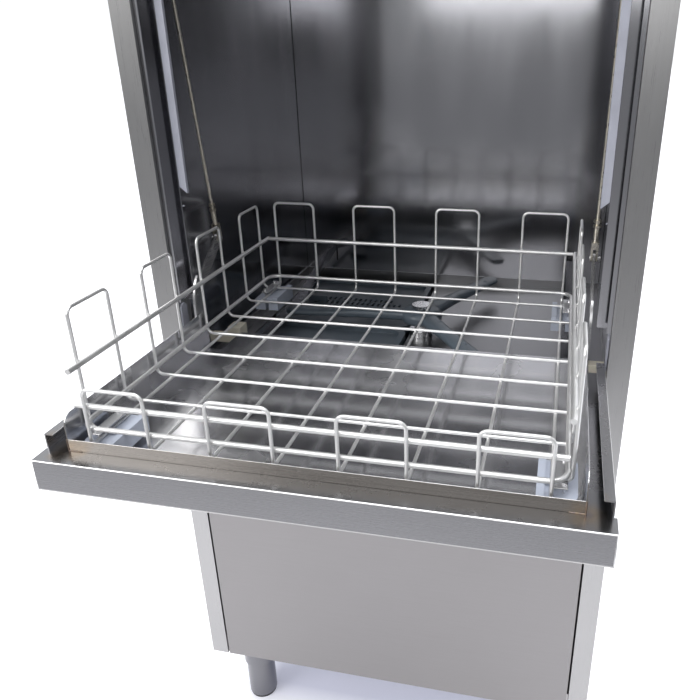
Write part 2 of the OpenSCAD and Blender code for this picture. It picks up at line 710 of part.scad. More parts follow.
base_tray();
leg_tubes();
levelling_feet();
side_casing_left();
side_casing_right();
rear_panel();
top_cover();
fascia();
display_lens();
start_button();
cycle_button();
power_button();
lower_front_panel();
panel_screws();
chamber_shell();
chamber_roof();
tank();
rack_rail_left();
rack_rail_right();
rail_blocks();
filter_tray_front();
filter_tray_rear();
suction_strainer();
overflow_standpipe();
lower_spindle();
lower_wash_arm();
upper_spindle();
upper_wash_arm();
upper_rinse_arm();
riser_pipe();
wash_pump();
pump_impeller();
boiler();
tank_heater();
inlet_valve();
dosing_pumps();
electrical_box();
cable_gland();
drain_pipe();
door_guides();
guide_strips();
door_plates();
upper_door_skin();
upper_door_liner();
upper_door_handle();
upper_door_blocks();
balance_springs();
lower_door_shell();
lower_door_pan();
hinge_pins();
hinge_bushes();
lever_arms();
link_rods();
clevis_pins();
rack_cross_hoops();
rack_long_hoops();
rack_rails();
rack_skids();
skid_plates();
skid_screws();
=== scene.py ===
import json
import math

import bmesh
import bpy
from mathutils import Euler, Matrix, Vector


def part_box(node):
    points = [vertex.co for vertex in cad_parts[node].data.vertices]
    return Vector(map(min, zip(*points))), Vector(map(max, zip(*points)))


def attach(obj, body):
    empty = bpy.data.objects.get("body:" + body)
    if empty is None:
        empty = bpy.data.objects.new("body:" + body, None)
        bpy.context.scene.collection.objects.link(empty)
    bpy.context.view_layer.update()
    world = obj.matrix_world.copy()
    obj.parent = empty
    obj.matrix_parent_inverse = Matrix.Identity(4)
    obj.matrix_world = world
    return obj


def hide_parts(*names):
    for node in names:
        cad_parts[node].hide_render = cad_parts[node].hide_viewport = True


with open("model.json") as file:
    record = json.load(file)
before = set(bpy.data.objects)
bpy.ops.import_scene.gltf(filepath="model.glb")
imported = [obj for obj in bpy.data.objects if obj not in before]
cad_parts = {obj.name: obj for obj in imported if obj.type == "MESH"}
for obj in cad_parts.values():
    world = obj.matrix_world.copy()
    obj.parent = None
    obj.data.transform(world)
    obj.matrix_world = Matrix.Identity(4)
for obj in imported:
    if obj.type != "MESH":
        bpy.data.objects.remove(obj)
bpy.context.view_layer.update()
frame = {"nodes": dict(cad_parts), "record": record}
nodes = frame["nodes"]
record = frame["record"]
node_body = {n: body for body, members in record["behaviour"]["bodies"].items() for n in members}
node_slot = {part["node"]: part["material_slot"] for part in record["subparts"]}
MM = 0.001
RANGE_SOCKETS = ("From Min", "From Max", "To Min", "To Max")
BUTTONS = ("start_button", "cycle_button", "power_button")


# ---------- Camera, floor and light ----------
def make_camera():
    """Looks down into the rack from the front, a little right of the middle, with a shifted lens."""
    eye = Vector((0.2345, -1.0619, 1.2049))
    tilt, turn, roll = 65.90, 12.69, -0.59
    camera = bpy.data.cameras.new("camera")
    camera.lens = 36.22
    camera.sensor_width = 36.0
    camera.shift_x = -0.0798
    camera.shift_y = -0.0006
    camera.clip_start = 0.02
    holder = bpy.data.objects.new("camera", camera)
    turned = Euler((0, 0, math.radians(turn))).to_matrix() @ Euler((math.radians(tilt), 0, 0)).to_matrix()
    turned = turned @ Euler((0, 0, math.radians(roll))).to_matrix()
    holder.matrix_world = Matrix.Translation(eye) @ turned.to_4x4()
    bpy.context.scene.collection.objects.link(holder)
    bpy.context.scene.camera = holder


def make_floor():
    """A pale floor with painted light: it glows towards the back, and painted shade darkens it towards
    the front and under the machine.
    """
    half = 30.0
    mesh = bpy.data.meshes.new("floor")
    corners = [(-half, -half, 0), (half, -half, 0), (half, half, 0), (-half, half, 0)]
    mesh.from_pydata(corners, [], [(0, 1, 2, 3)])
    floor = bpy.data.objects.new("floor", mesh)
    bpy.context.scene.collection.objects.link(floor)
    paint = Surface("floor_paint", (0.93, 0.93, 0.955), roughness=0.7)
    paint.vary_color(paint.noise((2, 2, 2)), (0.90, 0.90, 0.935), (0.92, 0.92, 0.945))
    # Painted shade: the floor darkens towards the front.
    paint.stain_and_shade(paint.along(1, -0.9, -1.9), (0.42, 0.42, 0.43))
    # Painted shadow: a bluish grey laid over the footprint of the legs, under the machine.
    low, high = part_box("leg_tubes")
    edge = 0.05
    under = paint.product(
        paint.along(0, low.x - edge, low.x + edge), paint.along(0, high.x + edge, high.x - edge),
        paint.along(1, low.y - edge, low.y + edge), paint.along(1, high.y + edge, high.y - edge))
    paint.stain_and_shade(under, (0.43, 0.44, 0.53))
    paint.feed(paint.shader.inputs["Emission Color"], paint.color)
    glow = paint.span(paint.along(1, -1.5, 0.4), 0, 1, 0.0, 0.75)
    paint.feed(paint.shader.inputs["Emission Strength"], glow)
    mesh.materials.append(paint.material)


def soft_box(name, place, aim, size, power, color=(1, 1, 1)):
    """A rectangular area light turned towards a point."""
    light = bpy.data.lights.new(name, "AREA")
    light.shape = "RECTANGLE"
    light.size, light.size_y = size
    light.energy = power
    light.color = color
    holder = bpy.data.objects.new(name, light)
    holder.location = place
    holder.rotation_euler = (Vector(aim) - Vector(place)).to_track_quat("-Z", "Y").to_euler()
    bpy.context.scene.collection.objects.link(holder)


def make_world():
    """Bright behind the machine and to the left, dimmer in front of it on the right."""
    world = bpy.data.worlds.new("studio")
    bpy.context.scene.world = world
    world.use_nodes = True
    tree = world.node_tree
    coords = tree.nodes.new("ShaderNodeTexCoord")
    split = tree.nodes.new("ShaderNodeSeparateXYZ")
    tree.links.new(coords.outputs["Generated"], split.inputs[0])

    def span(output, low, high, to_low, to_high):
        node = tree.nodes.new("ShaderNodeMapRange")
        node.interpolation_type = "SMOOTHSTEP"
        for socket, value in zip(RANGE_SOCKETS, (low, high, to_low, to_high)):
            node.inputs[socket].default_value = value
        tree.links.new(output, node.inputs["Value"])
        return node.outputs["Result"]

    behind = span(split.outputs["Y"], -0.25, 0.45, 0.0, 1.0)
    front = span(split.outputs["X"], -0.9, 0.7, 0.60, 0.08)
    mix = tree.nodes.new("ShaderNodeMix")
    tree.links.new(behind, mix.inputs["Factor"])
    tree.links.new(front, mix.inputs["A"])
    mix.inputs["B"].default_value = 1.1
    background = tree.nodes["Background"]
    background.inputs["Color"].default_value = (0.97, 0.985, 1.0, 1)
    tree.links.new(mix.outputs["Result"], background.inputs["Strength"])


def make_lights():
    soft_box("key", (-2.4, -2.6, 2.9), (0, 0, 0.8), (2.2, 1.8), 95, (1.0, 0.99, 0.97))
    soft_box("top", (0.3, -0.6, 3.6), (0, 0, 0.8), (2.6, 2.2), 70)
    soft_box("fill", (0.1, -2.0, 1.75), (0, 0.3, 0.85), (1.3, 0.9), 9)
    soft_box("side", (2.8, -0.8, 2.2), (0, 0, 0.7), (1.6, 1.6), 9, (0.96, 0.98, 1.0))


# ---------- Materials ----------
class Surface:
    """A Principled material whose colour, roughness and relief come from nodes."""

    def __init__(self, name, color, roughness=0.4, metallic=0.0, coat=0.0):
        self.material = bpy.data.materials.new(name)
        self.material.use_nodes = True
        self.tree = self.material.node_tree
        self.shader = self.tree.nodes["Principled BSDF"]
        self.shader.inputs["Base Color"].default_value = (*color, 1)
        self.shader.inputs["Roughness"].default_value = roughness
        self.shader.inputs["Metallic"].default_value = metallic
        self.shader.inputs["Coat Weight"].default_value = coat
        self.normal = None
        self.coords = self.tree.nodes.new("ShaderNodeTexCoord").outputs["Object"]

    def node(self, kind, **inputs):
        node = self.tree.nodes.new(kind)
        for name, value in inputs.items():
            self.feed(node.inputs[name.replace("_", " ")], value)
        return node

    def feed(self, socket, value):
        if isinstance(value, bpy.types.NodeSocket):
            self.tree.links.new(value, socket)
        else:
            socket.default_value = value

    def noise(self, scale, detail=3.0, roughness=0.55):
        """Noise with its own number of cells per metre along X, Y and Z."""
        mapping = self.node("ShaderNodeMapping", Vector=self.coords, Scale=scale)
        noise = self.node("ShaderNodeTexNoise", Vector=mapping.outputs[0], Scale=1.0)
        self.feed(noise.inputs["Detail"], detail)
        self.feed(noise.inputs["Roughness"], roughness)
        return noise.outputs["Fac"]

    def span(self, value, low, high, to_low, to_high):
        node = self.node("ShaderNodeMapRange", Value=value)
        for socket, number in zip(RANGE_SOCKETS, (low, high, to_low, to_high)):
            node.inputs[socket].default_value = number
        return node.outputs["Result"]

    def mix(self, factor, a, b):
        node = self.tree.nodes.new("ShaderNodeMix")
        node.data_type = "RGBA"
        self.feed(node.inputs[0], factor)
        for socket, color in ((node.inputs[6], a), (node.inputs[7], b)):
            self.feed(socket, color if isinstance(color, bpy.types.NodeSocket) else (*color, 1))
        return node.outputs[2]

    def vary_color(self, factor, dark, light):
        self.color = self.mix(self.span(factor, 0.3, 0.7, 0, 1), dark, light)
        self.feed(self.shader.inputs["Base Color"], self.color)

    def stain_and_shade(self, factor, color):
        """Lays another colour over the present one where factor is 1; it serves for real stains and for
        painted shade.
        """
        self.color = self.mix(factor, self.color, color)
        self.feed(self.shader.inputs["Base Color"], self.color)

    def vary_roughness(self, factor, low, high):
        self.feed(self.shader.inputs["Roughness"], self.span(factor, 0.3, 0.7, low, high))

    def relief(self, height, depth, strength=0.6):
        bump = self.node("ShaderNodeBump", Height=height, Strength=strength, Distance=depth)
        if self.normal:
            self.feed(bump.inputs["Normal"], self.normal)
        self.normal = bump.outputs["Normal"]
        self.feed(self.shader.inputs["Normal"], self.normal)

    def near(self, point, radius):
        """1 at a point and 0 beyond a radius, with a ragged edge."""
        node = self.tree.nodes.new("ShaderNodeVectorMath")
        node.operation = "DISTANCE"
        self.feed(node.inputs[0], self.coords)
        node.inputs[1].default_value = point
        ragged = self.tree.nodes.new("ShaderNodeMath")
        ragged.operation = "MULTIPLY_ADD"
        self.feed(ragged.inputs[0], self.noise((60, 60, 60)))
        ragged.inputs[1].default_value = radius
        self.feed(ragged.inputs[2], node.outputs["Value"])
        return self.span(ragged.outputs[0], radius * 0.4, radius * 1.5, 1, 0)

    def product(self, first, *rest):
        for factor in rest:
            times = self.tree.nodes.new("ShaderNodeMath")
            times.operation = "MULTIPLY"
            self.feed(times.inputs[0], first)
            self.feed(times.inputs[1], factor)
            first = times.outputs[0]
        return first

    def along(self, axis, low, high):
        """0 below one coordinate and 1 above another, along X, Y or Z."""
        split = self.node("ShaderNodeSeparateXYZ", Vector=self.coords)
        return self.span(split.outputs[axis], low, high, 0, 1)


def scaled(color, factor):
    return tuple(min(1.0, c * factor) for c in color)


# Cells per metre of the brushing: on upright sheets along X and Z, on level sheets along Y
GRAIN = {"X": (14, 14, 1500), "Y": (1500, 14, 1500), "Z": (1500, 1500, 14)}


def brushed_steel(name, color, grain="X", roughness=0.30, spread=0.035, depth=0.00001):
    """Sheet steel with fine lines along one axis, faint clouding and light handling marks."""
    steel = Surface(name, color, roughness, metallic=1.0)
    lines = steel.noise(GRAIN[grain], detail=4.0, roughness=0.65)
    clouds = steel.noise((5, 5, 5), detail=2.0)
    steel.vary_color(lines, scaled(color, 0.965), scaled(color, 1.03))
    steel.stain_and_shade(steel.span(clouds, 0.45, 0.75, 0.0, 0.35), scaled(color, 0.93))
    steel.vary_roughness(lines, roughness - spread, roughness + spread)
    steel.relief(lines, depth, 0.35)
    return steel


def rolled_steel(name, color, roughness=0.16, waviness=0.12):
    """Bright rolled sheet, nearly a mirror, with soft waviness and smears."""
    steel = Surface(name, color, roughness, metallic=1.0)
    smears = steel.noise((10, 10, 2), detail=3.0, roughness=0.5)
    steel.vary_color(smears, scaled(color, 0.95), scaled(color, 1.05))
    steel.vary_roughness(smears, roughness - 0.03, roughness + 0.05)
    if waviness:
        steel.relief(steel.noise((4, 4, 2), detail=0.0), 0.0004, waviness)
    steel.relief(steel.noise((900, 900, 40), detail=2.0), 0.00001, 0.2)
    return steel


def bright_metal(name, color, roughness=0.22):
    """Turned or polished small metal with micro scratches."""
    metal = Surface(name, color, roughness, metallic=1.0)
    marks = metal.noise((420, 420, 120), detail=4.0)
    metal.vary_color(marks, scaled(color, 0.88), scaled(color, 1.06))
    metal.vary_roughness(marks, roughness - 0.05, roughness + 0.10)
    metal.relief(marks, 0.00004, 0.3)
    return metal


def plastic(name, color, roughness=0.42, coat=0.0, grain=900):
    """Moulded plastic with a fine spark-eroded texture and slight unevenness of colour."""
    body = Surface(name, color, roughness, coat=coat)
    cloud = body.noise((22, 22, 22), detail=4.0)
    body.vary_color(cloud, scaled(color, 0.90), scaled(color, 1.10))
    body.vary_roughness(cloud, roughness - 0.06, roughness + 0.08)
    body.relief(body.noise((grain, grain, grain), detail=2.0), 0.00006, 0.35)
    return body


def wire_finish():
    """Electropolished rack wire: pale, soft gloss, a little dull in patches."""
    wire = Surface("rack_wire", (0.76, 0.76, 0.76), 0.34, metallic=0.8)
    dull = wire.noise((30, 30, 30), detail=3.0)
    wire.vary_color(dull, (0.70, 0.70, 0.70), (0.82, 0.82, 0.82))
    wire.vary_roughness(dull, 0.28, 0.42)
    wire.relief(wire.noise((300, 300, 300), detail=1.0), 0.00002, 0.15)
    return wire


def door_finish():
    """Lower door steel: brushed along its width, straw and blue heat marks at the welded corners."""
    steel = brushed_steel("door_steel", (0.285, 0.285, 0.297), "X", 0.27)
    low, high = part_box("lower_door_pan")
    shell_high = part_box("lower_door_shell")[1]
    for x in (low.x, high.x):
        steel.stain_and_shade(steel.near((x, low.y, shell_high.z - 0.012), 0.026), (0.36, 0.27, 0.17))
        steel.stain_and_shade(steel.near((x, low.y, shell_high.z - 0.014), 0.010), (0.10, 0.12, 0.22))
    return steel


def pan_finish():
    """Bright pan with brown heat colour near its welded front corners."""
    steel = rolled_steel("pan_steel", (0.68, 0.68, 0.70), 0.24, waviness=0)
    low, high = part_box("lower_door_pan")
    for x in (low.x, high.x):
        steel.stain_and_shade(steel.near((x, low.y, low.z + 0.02), 0.030), (0.33, 0.24, 0.14))
    return steel


def chamber_finish():
    """Chamber sheet: dark bright-rolled steel, brown and blue where the posts are welded on."""
    steel = rolled_steel("chamber_steel", (0.43, 0.43, 0.455), 0.13)
    low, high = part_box("chamber_shell")
    for x in (low.x, high.x):
        steel.stain_and_shade(steel.near((x, low.y, low.z + 0.09), 0.05), (0.30, 0.18, 0.10))
        steel.stain_and_shade(steel.near((x, low.y, low.z + 0.05), 0.03), (0.08, 0.12, 0.24))
    return steel


def rim_finish():
    """The brushed band round the pan, yellowed by welding."""
    steel = brushed_steel("tinted_rim", (0.250, 0.234, 0.215), "X", 0.26, depth=0.00003)
    bands = steel.noise((4, 40, 420), detail=3.0)
    steel.stain_and_shade(steel.span(bands, 0.45, 0.70, 0, 0.5), (0.17, 0.155, 0.138))
    return steel


def tinted_rod_finish():
    """Zinc plated and yellow passivated steel."""
    rod = bright_metal("tinted_rod", (0.60, 0.56, 0.48), 0.28)
    cloud = rod.noise((25, 25, 25), detail=3.0)
    rod.stain_and_shade(rod.span(cloud, 0.5, 0.7, 0, 0.7), (0.50, 0.47, 0.44))
    return rod


def make_materials():
    return {
        "brushed_casing": brushed_steel("brushed_casing", (0.43, 0.425, 0.422), "X", 0.31),
        "chamber_steel": chamber_finish(),
        "door_steel": door_finish(),
        "pan_steel": pan_finish(),
        "bright_steel": bright_metal("bright_steel", (0.70, 0.70, 0.71)),
        "rack_wire": wire_finish(),
        "blue_grey_plastic": plastic("blue_grey_plastic", (0.105, 0.130, 0.158), 0.36),
        "pale_blue_plastic": plastic("pale_blue_plastic", (0.42, 0.455, 0.54), 0.40),
        "nylon": plastic("nylon", (0.72, 0.68, 0.58), 0.45),
        "black_rubber": plastic("black_rubber", (0.022, 0.022, 0.024), 0.62, grain=1400),
        "dark_plastic": plastic("dark_plastic", (0.014, 0.017, 0.020), 0.16, coat=0.4, grain=2000),
        "green_plastic": plastic("green_plastic", (0.02, 0.19, 0.06), 0.30, coat=0.2),
        "grey_plastic": plastic("grey_plastic", (0.20, 0.21, 0.22), 0.34, coat=0.2),
        "red_plastic": plastic("red_plastic", (0.35, 0.012, 0.010), 0.30, coat=0.2),
        "painted_grey": plastic("painted_grey", (0.11, 0.13, 0.155), 0.48, grain=600),
        "tinted_rod": tinted_rod_finish(),
        "post_steel": brushed_steel("post_steel", (0.39, 0.387, 0.39), "Z", 0.30),
        "deck_steel": brushed_steel("deck_steel", (0.29, 0.29, 0.30), "Y", 0.34),
        # The casing steel darkened for the lower front panel: painted shade for the darker floor it
        # reflects.
        "painted_shade_panel_steel": brushed_steel("painted_shade_panel_steel", (0.268, 0.259, 0.262), "X", 0.33),
        "strap_steel": brushed_steel("strap_steel", (0.62, 0.62, 0.63), "Y", 0.36),
        "guide_plastic": plastic("guide_plastic", (0.34, 0.35, 0.41), 0.38),
        "rim_steel": rim_finish(),
        "leg_steel": brushed_steel("leg_steel", (0.20, 0.20, 0.215), "Z", 0.24),
        "lever_steel": brushed_steel("lever_steel", (0.40, 0.40, 0.41), "Y", 0.28),
        # A pale steel for a painted highlight on edges and rim tops.
        "painted_highlight_steel": brushed_steel("painted_highlight_steel", (0.80, 0.80, 0.81), "X", 0.34),
    }


# ---------- Mesh helpers ----------
def add_piece(name, bm, material, body):
    """Links a finished piece that moves with a body and carries the material it is given."""
    bmesh.ops.recalc_face_normals(bm, faces=bm.faces)
    mesh = bpy.data.meshes.new(name)
    bm.to_mesh(mesh)
    bm.free()
    mesh.materials.append(material.material)
    mesh.shade_smooth()
    mesh.set_sharp_from_angle(angle=math.radians(38))
    piece = bpy.data.objects.new(name, mesh)
    bpy.context.scene.collection.objects.link(piece)
    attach(piece, body)
    return piece


def lathe(bm, profile, matrix, segments=28):
    """Turns (radius, height) points about the local Z axis; a radius of 0 closes the end."""
    rings = []
    for radius, height in profile:
        if radius == 0:
            rings.append([bm.verts.new(matrix @ Vector((0, 0, height)))])
            continue
        angles = [math.tau * i / segments for i in range(segments)]
        rings.append([bm.verts.new(matrix @ Vector((radius * math.cos(a), radius * math.sin(a), height)))
                      for a in angles])
    for a, b in zip(rings, rings[1:]):
        for i in range(segments):
            j = (i + 1) % segments
            corners = [a[i % len(a)], a[j % len(a)], b[j % len(b)], b[i % len(b)]]
            bm.faces.new(list(dict.fromkeys(corners)))


def slab(bm, low, high):
    """A plain box between two corners."""
    low, high = Vector(low), Vector(high)
    matrix = Matrix.Translation((low + high) / 2) @ Matrix.Diagonal((*(high - low), 1))
    bmesh.ops.create_cube(bm, size=1, matrix=matrix)


def tube(bm, points, radius, sides=8, closed=False):
    """A round bar swept along points, with flat ends."""
    count = len(points)
    rings = []
    side = None
    for i, point in enumerate(points):
        ahead = points[(i + 1) % count] if closed or i + 1 < count else point
        back = points[i - 1] if closed or i else point
        forward = (ahead - back).normalized()
        start = side if side else (Vector((0, 0, 1)) if abs(forward.z) < 0.9 else Vector((1, 0, 0)))
        side = (start - forward * start.dot(forward)).normalized()
        up = forward.cross(side)
        rings.append([bm.verts.new(point + radius * (math.cos(math.tau * k / sides) * side
                                                     + math.sin(math.tau * k / sides) * up))
                      for k in range(sides)])
    pairs = list(zip(rings, rings[1:] + rings[:1])) if closed else list(zip(rings, rings[1:]))
    for a, b in pairs:
        for k in range(sides):
            bm.faces.new((a[k], a[(k + 1) % sides], b[(k + 1) % sides], b[k]))
    if not closed:
        bm.faces.new(rings[0][::-1])
        bm.faces.new(rings[-1])


def pointing(place, direction):
    """A matrix that puts local +Z along a direction at a place."""
    return Matrix.Translation(place) @ Vector(direction).to_track_quat("Z", "Y").to_matrix().to_4x4()


def softened(node, material, width=0.4 * MM, steps=2, share=None):
    """A copy of a CAD node with its edges broken, which stands for the node.

    share(middle, length) may give the part of the width that an edge gets.
    """
    sharp = math.radians(35)
    bm = bmesh.new()
    bm.from_mesh(nodes[node].data)
    bmesh.ops.remove_doubles(bm, verts=bm.verts, dist=1e-6)
    bmesh.ops.dissolve_limit(bm, angle_limit=math.radians(1), verts=bm.verts, edges=bm.edges)
    if share:
        weight = bm.edges.layers.float.new("bevel_weight_edge")
        for edge in bm.edges:
            if len(edge.link_faces) == 2 and edge.calc_face_angle() > sharp:
                edge[weight] = share((edge.verts[0].co + edge.verts[1].co) / 2, edge.calc_length())
    piece = add_piece(f"{node}_finished", bm, material, node_body[node])
    bevel = piece.modifiers.new("edges", "BEVEL")
    bevel.width = width
    bevel.segments = steps
    bevel.limit_method = "WEIGHT" if share else "ANGLE"
    bevel.angle_limit = sharp
    bevel.use_clamp_overlap = share is None
    normals = piece.modifiers.new("normals", "WEIGHTED_NORMAL")
    normals.weight = 100
    normals.keep_sharp = True
    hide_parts(node)
    return piece


def paint_faces(piece, material, chosen):
    """Gives the faces that chosen(centre, normal) picks a material of their own."""
    piece.data.materials.append(material.material)
    index = len(piece.data.materials) - 1
    for face in piece.data.polygons:
        if chosen(face.center, face.normal):
            face.material_index = index


# ---------- Casing ----------
def finish_casing(mat):
    """Broken edges for the sheets and mouldings, and the finishes of single faces; painted shade on the
    lower front panel, a painted highlight on the door lip and pan rim edges and a painted reflection on
    the door hem.
    """
    soft = {"top_cover": "brushed_casing", "fascia": "brushed_casing", "rear_panel": "brushed_casing",
            # The lower front panel takes the darkened steel, painted shade.
            "lower_front_panel": "painted_shade_panel_steel", "side_casing_left": "post_steel",
            "side_casing_right": "post_steel", "upper_door_skin": "brushed_casing",
            "leg_tubes": "leg_steel", "lever_arms": "lever_steel",
            "rail_blocks": "nylon", "rack_skids": "pale_blue_plastic", "skid_plates": "strap_steel",
            "guide_strips": "guide_plastic", "door_plates": "guide_plastic",
            "rack_rail_left": "chamber_steel", "rack_rail_right": "chamber_steel",
            "display_lens": "dark_plastic", "upper_door_blocks": "nylon"}
    # In mm; every other node gets 0.4
    widths = {"rail_blocks": 3.0, "rack_skids": 1.4, "display_lens": 1.2, "leg_tubes": 1.2,
              "upper_door_blocks": 1.0}
    for node, name in soft.items():
        softened(node, mat[name], widths.get(node, 0.4) * MM, 3 if node in widths else 2)

    low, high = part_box("lower_door_shell")

    def door_edge(middle, length):
        """The edges of the front lip get the whole width, the long flange edges less, the others none."""
        if middle.y < low.y + 1 * MM and middle.z > low.z + 6 * MM:
            return 1.0
        return 0.4 if middle.z > high.z - 3 * MM and length > 0.1 else 0.0

    door = softened("lower_door_shell", mat["door_steel"], 1.3 * MM, 4, door_edge)
    # The bevel faces of the lip take the pale steel: a painted highlight along its edges.
    door.data.materials.append(mat["painted_highlight_steel"].material)
    door.modifiers["edges"].material = 1
    # Painted reflection: the downward-facing faces of the hem take the paler casing steel.
    hem = low.z + 5 * MM
    paint_faces(door, mat["brushed_casing"],
                lambda centre, normal: centre.z < hem and centre.y < low.y + 5 * MM and normal.z < -0.2)

    feet = softened("levelling_feet", mat["leg_steel"], 1.5 * MM, 3)
    paint_faces(feet, mat["black_rubber"], lambda centre, normal: centre.z < 6 * MM)

    pan = softened("lower_door_pan", mat["pan_steel"], 0.35 * MM, 2)
    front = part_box("lower_door_pan")[0].y
    paint_faces(pan, mat["rim_steel"], lambda centre, normal: centre.y < front + 1.5 * MM)
    # The top faces of the rim take the pale steel: a painted highlight.
    paint_faces(pan, mat["painted_highlight_steel"],
                lambda centre, normal: centre.y < front + 1.5 * MM and normal.z > 0.9)


def screw_head(bm, place, direction, radius=4.2 * MM, height=1.6 * MM):
    """Low domed head with a round socket."""
    lathe(bm, [(radius * 0.45, height * 0.35), (radius * 0.45, height * 0.96), (radius * 0.62, height),
               (radius * 0.86, height * 0.72), (radius, height * 0.2), (radius, -0.1 * MM)],
          pointing(place, direction), 20)
    lathe(bm, [(0, height * 0.35), (radius * 0.45, height * 0.35)], pointing(place, direction), 20)


def make_rear_details(mat):
    """Screws round the rear panel and a pressed hood over each vent slot."""
    low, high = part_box("rear_panel")
    inset = 14 * MM
    columns = (-0.15, 0, 0.15)
    bm = bmesh.new()
    for x in (low.x + inset, high.x - inset):
        for i in range(6):
            z = low.z + inset + (high.z - low.z - 2 * inset) * i / 5
            screw_head(bm, (x, high.y, z), (0, 1, 0))
    for x in columns:
        for z in (low.z + inset, high.z - inset):
            screw_head(bm, (x, high.y, z), (0, 1, 0))
    add_piece("rear_panel_screws", bm, mat["bright_steel"], "cabinet")

    hood_depth, hood_height, sheet = 5 * MM, 9 * MM, 0.8 * MM
    half_hood, pitch, first_hood = 51 * MM, 24 * MM, 172 * MM
    steps = 6
    bm = bmesh.new()
    for x in columns:
        for i in range(5):
            base = high.z - first_hood + pitch * i
            outer, inner = [], []
            for k in range(steps + 1):
                angle = math.pi / 2 * k / steps
                outer.append((math.cos(angle) * hood_depth, math.sin(angle) * hood_height))
                inner.append((math.cos(angle) * (hood_depth - sheet),
                              math.sin(angle) * (hood_height - sheet)))
            section = outer + inner[::-1]
            ends = [[bm.verts.new((x + s * half_hood, high.y + depth, base + rise))
                     for depth, rise in section] for s in (-1, 1)]
            size = len(section)
            for k in range(size):
                bm.faces.new((ends[0][k], ends[0][(k + 1) % size], ends[1][(k + 1) % size], ends[1][k]))
            for end in ends:
                for k in range(steps):
                    bm.faces.new((end[k], end[k + 1], end[size - 2 - k], end[size - 1 - k]))
    add_piece("vent_hoods", bm, mat["brushed_casing"], "cabinet")


def make_handle_caps(mat):
    """Domed rubber caps on the ends of the pull bar."""
    low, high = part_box("upper_door_handle")
    bm = bmesh.new()
    radius = 8 * MM
    centre = Vector((0, low.y + radius, low.z + radius))
    dome = [(0, 3 * MM), (4 * MM, 2.6 * MM), (6.6 * MM, 1.4 * MM), (7.9 * MM, 0), (7.9 * MM, -0.5 * MM)]
    for x, direction in ((low.x, -1), (high.x, 1)):
        lathe(bm, dome, pointing((x, centre.y, centre.z), (direction, 0, 0)), 32)
    add_piece("handle_end_caps", bm, mat["black_rubber"], "upper_door")


def make_buttons(mat):
    """Dished caps with a fine ring round each."""
    for name in BUTTONS:
        low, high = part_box(name)
        centre = (low + high) / 2
        front = Vector((centre.x, low.y, centre.z))
        bm = bmesh.new()
        depth = high.y - low.y
        dish = [(0, -1.0 * MM), (4 * MM, -0.85 * MM), (8 * MM, -0.3 * MM), (9.6 * MM, 0),
                (10.5 * MM, -0.4 * MM), (10.9 * MM, -1.2 * MM)]
        skirt = [(10.9 * MM, -7.4 * MM), (13 * MM, -7.5 * MM), (13 * MM, -depth), (0, -depth)]
        lathe(bm, dish + skirt, pointing(front, (0, -1, 0)), 48)
        cap = add_piece(f"{name}_cap", bm, mat[node_slot[name]], name)
        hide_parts(name)
    bm = bmesh.new()
    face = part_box("fascia")[0].y
    ring = [(11.6 * MM, 0), (11.8 * MM, 0.9 * MM), (13.4 * MM, 0.9 * MM), (13.8 * MM, 0), (11.6 * MM, 0)]
    for name in BUTTONS:
        low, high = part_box(name)
        centre = (low + high) / 2
        lathe(bm, ring, pointing((centre.x, face, centre.z), (0, -1, 0)), 48)
    add_piece("button_rings", bm, mat["bright_steel"], "cabinet")


def make_display_marks():
    """Plain level bars behind the display window, without lettering."""
    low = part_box("display_lens")[0]
    glow = Surface("display_glow", (0.02, 0.10, 0.04), 0.4)
    glow.vary_color(glow.noise((300, 300, 300)), (0.02, 0.09, 0.04), (0.03, 0.13, 0.05))
    glow.shader.inputs["Emission Color"].default_value = (0.25, 0.9, 0.45, 1)
    glow.shader.inputs["Emission Strength"].default_value = 0.5
    bm = bmesh.new()
    for i in range(6):
        x = low.x + 16 * MM + i * 8 * MM
        top = low.z + (20 + 3.2 * i) * MM
        slab(bm, (x, low.y - 0.15 * MM, low.z + 13 * MM), (x + 5 * MM, low.y + 0.2 * MM, top))
    add_piece("display_bars", bm, glow, "cabinet")


def make_springs(mat):
    """Close-wound balance springs in the side channels."""
    low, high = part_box("balance_springs")
    tube_radius, radius, wire, pitch = 6 * MM, 5.1 * MM, 0.85 * MM, 3.4 * MM
    turns = int((high.z - low.z - 2 * wire) / pitch)
    per_turn = 12
    bm = bmesh.new()
    for x in (low.x + tube_radius, high.x - tube_radius):
        y = (low.y + high.y) / 2
        points = [Vector((x + radius * math.cos(math.tau * i / per_turn),
                          y + radius * math.sin(math.tau * i / per_turn),
                          low.z + wire + pitch * i / per_turn)) for i in range(turns * per_turn)]
        tube(bm, points, wire, 6)
    coils = add_piece("spring_coils", bm, mat["bright_steel"], "cabinet")
    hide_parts("balance_springs")


def make_chamber_corner_shade(mat):
    """Near-black bars up the two back corners of the chamber: painted shade in the corners."""
    shell_low, shell_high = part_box("chamber_shell")
    sheet, radius = 1.5 * MM, 1.1 * MM
    bm = bmesh.new()
    ends = (shell_low.z + 24 * MM, shell_high.z - 1 * MM)
    for x in (shell_low.x + sheet, shell_high.x - sheet):
        tube(bm, [Vector((x, shell_high.y - sheet, z)) for z in ends], radius, 12)
    # Painted shade: a glossy near-black fillet in each back corner.
    add_piece("chamber_corner_shade", bm, mat["dark_plastic"], "cabinet")


# ---------- Wash arms ----------
def blade_section(t):
    """Half width and half height of a blade in mm at t, 0 at the hub and 1 at the tip."""
    width = 17 - 3.5 * math.sin(math.pi * min(1, t * 1.25)) ** 2
    height = 8.2 - 3.2 * t
    if t > 0.96:
        width -= 5.5 * (t - 0.96) / 0.04
    return width, height


